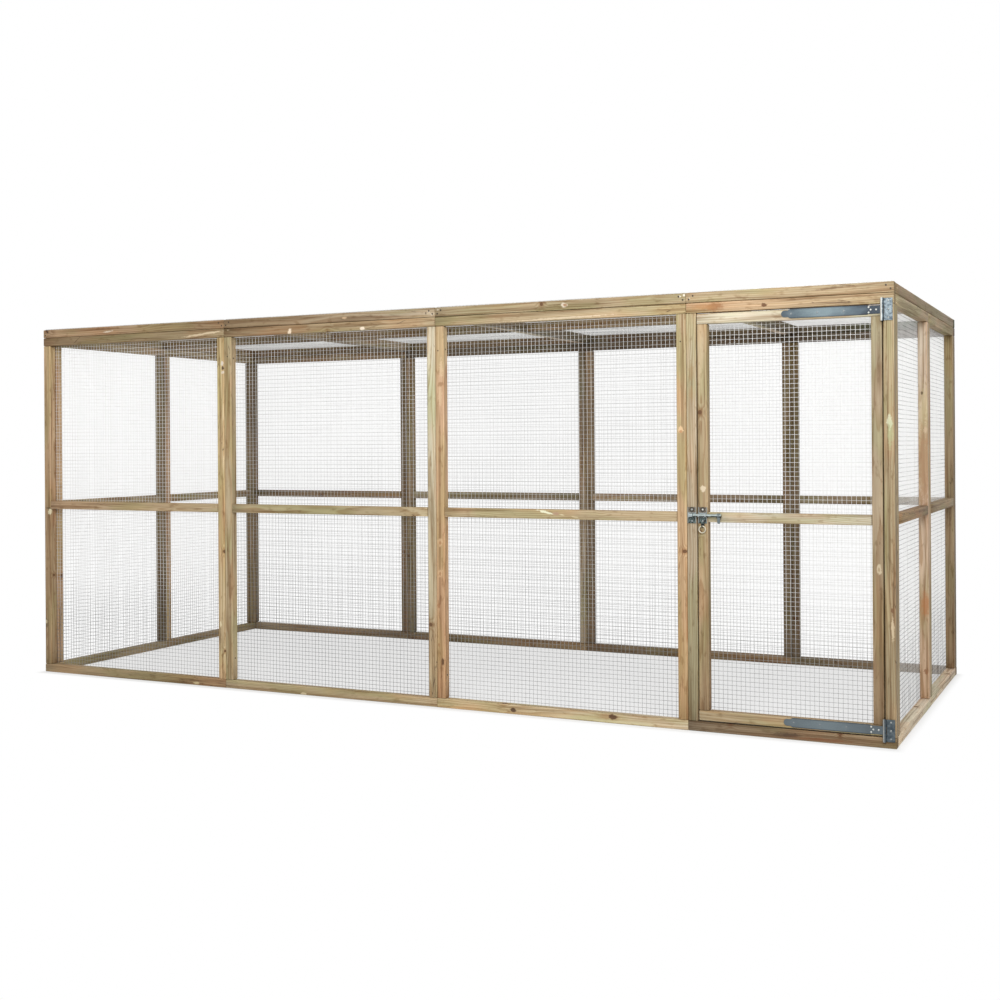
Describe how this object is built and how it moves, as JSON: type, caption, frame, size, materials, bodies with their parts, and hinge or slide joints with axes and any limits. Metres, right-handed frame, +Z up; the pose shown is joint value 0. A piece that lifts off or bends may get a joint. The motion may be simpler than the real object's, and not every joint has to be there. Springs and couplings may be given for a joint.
{
  "type": "pet run",
  "caption": "Walk-in pet run of timber-framed welded mesh panels with a mesh roof and a mesh door on long strap hinges, shut by a sliding pad bolt.",
  "frame": {"origin": "on the ground, in the middle of the whole outline with the door furniture", "axes": "+X to the right along the front with the door, +Y from the front to the back, +Z up"},
  "size_m": [4.45, 1.9131, 1.8469],
  "materials": {
    "timber": "sawn and planed softwood, pressure treated, greenish tan",
    "mesh": "hot-dip galvanised welded wire, dull",
    "zinc": "galvanised steel, blue-grey, satin"
  },
  "bodies": {
    "root": {"front_left_stiles": "timber", "front_left_rails": "timber", "front_left_mesh": "mesh", "front_centre_stiles": "timber", "front_centre_rails": "timber", "front_centre_mesh": "mesh", "front_right_stiles": "timber", "front_right_rails": "timber", "front_right_mesh": "mesh", "back_left_stiles": "timber", "back_left_rails": "timber", "back_left_mesh": "mesh", "back_centre_stiles": "timber", "back_centre_rails": "timber", "back_centre_mesh": "mesh", "back_right_stiles": "timber", "back_right_rails": "timber", "back_right_mesh": "mesh", "back_narrow_stiles": "timber", "back_narrow_rails": "timber", "back_narrow_mesh": "mesh", "left_front_stiles": "timber", "left_front_rails": "timber", "left_front_mesh": "mesh", "left_back_stiles": "timber", "left_back_rails": "timber", "left_back_mesh": "mesh", "right_front_stiles": "timber", "right_front_rails": "timber", "right_front_mesh": "mesh", "right_back_stiles": "timber", "right_back_rails": "timber", "right_back_mesh": "mesh", "door_frame_stiles": "timber", "door_frame_rails": "timber", "roof_left_sides": "timber", "roof_left_rails": "timber", "roof_left_mesh": "mesh", "roof_centre_sides": "timber", "roof_centre_rails": "timber", "roof_centre_mesh": "mesh", "roof_right_sides": "timber", "roof_right_rails": "timber", "roof_right_mesh": "mesh", "roof_narrow_sides": "timber", "roof_narrow_rails": "timber", "roof_narrow_mesh": "mesh", "hinge_plates": "zinc", "hinge_pins": "zinc", "bolt_keep": "zinc", "frame_screws": "zinc", "plate_screws": "zinc"},
    "door": {"door_stiles": "timber", "door_rails": "timber", "door_mesh": "mesh", "hinge_straps": "zinc", "bolt_plate": "zinc", "door_screws": "zinc"},
    "bolt": {"bolt_rod": "zinc"},
    "handle": {"bolt_handle": "zinc"}
  },
  "joints": [
    {"name": "door_swing", "type": "hinge", "parent": "root", "child": "door", "pos_m": [2.1795, -0.94415, 0.9], "axis": [0, 0, 1], "range_deg": [0, 170]},
    {"name": "bolt_slide", "type": "slide", "parent": "door", "child": "bolt", "axis": [-1, 0, 0], "range_m": [0, 0.024]},
    {"name": "handle_turn", "type": "hinge", "parent": "bolt", "child": "handle", "pos_m": [1.5151, -0.94705, 0.908], "axis": [-1, 0, 0], "range_deg": [0, 170]}
  ]
}
